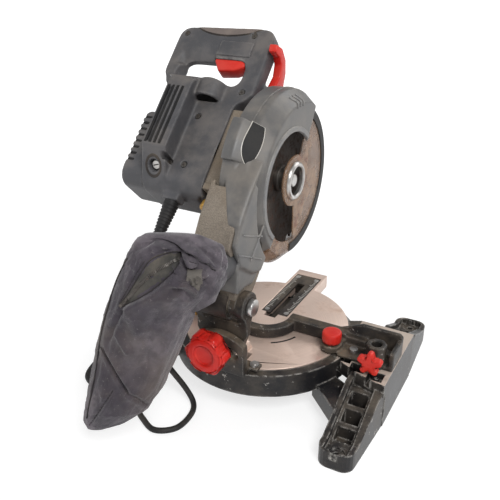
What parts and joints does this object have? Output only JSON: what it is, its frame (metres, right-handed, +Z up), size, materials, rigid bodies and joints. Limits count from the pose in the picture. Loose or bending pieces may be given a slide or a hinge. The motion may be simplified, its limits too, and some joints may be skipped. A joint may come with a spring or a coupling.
{
  "type": "compound mitre saw",
  "caption": "Compound mitre saw: swivelling table, tilting bracket, chopping head with motor, D-handle, guarded blade, fence with clamp sockets, dust bag and mains cord.",
  "frame": {"origin": "centre of the four bench holes, on the bench", "axes": "+X to the user's right, +Y to the rear, +Z up"},
  "size_m": [0.4992, 0.4448, 0.4347],
  "materials": {
    "black_paint": "semi-gloss black paint",
    "grey_plastic": "dusty mid grey moulded plastic",
    "red_plastic": "red-orange moulded plastic",
    "steel": "zinc plated or ground steel",
    "cast_alloy": "cast aluminium under sawdust",
    "machined": "turned aluminium",
    "dark_plastic": "dark moulded plastic",
    "brass": "brass",
    "copper": "copper windings and steel laminations, shown as copper",
    "cloth": "grey-purple woven bag cloth",
    "smoke": "clear smoke-tinted polycarbonate, dusty",
    "grip": "soft grip inlay",
    "rubber": "black rubber or plastic"
  },
  "bodies": {
    "base": {"base_casting": "black_paint", "swivel_bolt": "steel", "mitre_scale": "steel", "fence": "black_paint", "fence_bolts": "steel", "power_cord": "rubber", "cord_coil": "rubber", "mains_plug": "rubber"},
    "mitre_knob_left": {"mitre_knob_left": "red_plastic"},
    "mitre_knob_right": {"mitre_knob_right": "red_plastic"},
    "clamp_knob_left": {"clamp_knob_left": "red_plastic"},
    "clamp_knob_right": {"clamp_knob_right": "red_plastic"},
    "table": {"turntable": "machined", "kerf_plate": "dark_plastic", "kerf_screws": "steel", "bevel_quadrant": "black_paint", "bevel_stops": "steel", "bevel_pin": "steel"},
    "bracket": {"bevel_bracket": "black_paint", "bevel_stud": "steel", "pivot_bolt": "steel", "pivot_nut": "steel", "torsion_spring": "steel", "spring_cover": "rubber"},
    "bevel_knob": {"bevel_knob": "red_plastic"},
    "lock_pin": {"lock_pin": "brass"},
    "head": {"head_casting": "cast_alloy", "upper_guard": "grey_plastic", "guard_plate": "dark_plastic", "gearbox_cover": "cast_alloy", "gearbox_screws": "steel", "arbor_bearings": "steel", "motor_bearings": "steel", "stator": "copper", "brushes": "dark_plastic", "brush_caps": "dark_plastic", "housing_top": "grey_plastic", "housing_bottom": "grey_plastic", "end_cap": "grey_plastic", "housing_screws": "steel", "grip_pad": "grip", "switch": "dark_plastic", "dust_port": "grey_plastic", "dust_bag": "cloth", "cord_boot": "rubber"},
    "lower_guard": {"lower_guard": "smoke", "lower_guard_edge": "dark_plastic"},
    "blade": {"saw_blade": "steel", "inner_flange": "steel", "outer_flange": "steel", "arbor_bolt": "steel", "arbor_shaft": "steel", "driven_gear": "steel"},
    "armature": {"armature_shaft": "steel", "armature_core": "copper", "commutator": "copper", "motor_fan": "dark_plastic"},
    "trigger": {"trigger": "red_plastic"},
    "guard_lever": {"guard_lever": "red_plastic"},
    "spindle_lock": {"spindle_lock": "brass"}
  },
  "joints": [
    {"name": "mitre", "type": "hinge", "parent": "base", "child": "table", "pos_m": [0, 0.0075, 0.0555], "axis": [0, 0, 1], "range_deg": [-45, 45], "deforming": ["power_cord"]},
    {"name": "bevel", "type": "hinge", "parent": "table", "child": "bracket", "pos_m": [0, 0.0975, 0.0675], "axis": [0, -1, 0], "range_deg": [0, 45]},
    {"name": "chop", "type": "hinge", "parent": "bracket", "child": "head", "pos_m": [0, 0.1195, 0.158], "axis": [1, 0, 0], "range_deg": [0, 36.5], "stiffness_Nm_per_rad": 8, "springref_deg": -126.05, "deforming": ["dust_bag"]},
    {"name": "guard_swing", "type": "hinge", "parent": "head", "child": "lower_guard", "pos_m": [0, -0.01962, 0.26903], "axis": [1, 0, 0], "range_deg": [-128, 0]},
    {"name": "blade_spin", "type": "hinge", "parent": "head", "child": "blade", "pos_m": [0, -0.01962, 0.26903], "axis": [1, 0, 0], "continuous": true},
    {"name": "armature_spin", "type": "hinge", "parent": "head", "child": "armature", "pos_m": [0, 0.0073, 0.28489], "axis": [1, 0, 0], "continuous": true},
    {"name": "trigger_pull", "type": "slide", "parent": "head", "child": "trigger", "axis": [0, -0.7071, 0.7071], "range_m": [0, 0.006], "stiffness_N_per_m": 500},
    {"name": "lever_press", "type": "hinge", "parent": "head", "child": "guard_lever", "pos_m": [0.03, -0.06058, 0.36409], "axis": [1, 0, 0], "range_deg": [0, 10], "stiffness_Nm_per_rad": 1},
    {"name": "lock_press", "type": "slide", "parent": "head", "child": "spindle_lock", "axis": [0, -0.8746, 0.4848], "range_m": [0, 0.0025], "stiffness_N_per_m": 600},
    {"name": "lock_pin_slide", "type": "slide", "parent": "bracket", "child": "lock_pin", "axis": [-1, 0, 0], "range_m": [0, 0.008]},
    {"name": "bevel_knob_turn", "type": "hinge", "parent": "bracket", "child": "bevel_knob", "pos_m": [0.006, 0.1475, 0.10249], "axis": [0, 1, 0], "continuous": true},
    {"name": "mitre_knob_left_turn", "type": "hinge", "parent": "base", "child": "mitre_knob_left", "pos_m": [-0.105, 0.0315, 0.08], "axis": [0, 0, 1], "continuous": true},
    {"name": "mitre_knob_right_turn", "type": "hinge", "parent": "base", "child": "mitre_knob_right", "pos_m": [0.105, 0.0315, 0.08], "axis": [0, 0, 1], "continuous": true},
    {"name": "clamp_knob_left_turn", "type": "hinge", "parent": "base", "child": "clamp_knob_left", "pos_m": [-0.166, 0.0575, 0.085], "axis": [0, 1, 0], "continuous": true},
    {"name": "clamp_knob_right_turn", "type": "hinge", "parent": "base", "child": "clamp_knob_right", "pos_m": [0.166, 0.0575, 0.085], "axis": [0, 1, 0], "continuous": true}
  ],
  "couplings": [
    {"joint": "guard_swing", "follows": "chop", "ratio": -3.5068},
    {"joint": "armature_spin", "follows": "blade_spin", "ratio": -4.5556}
  ]
}
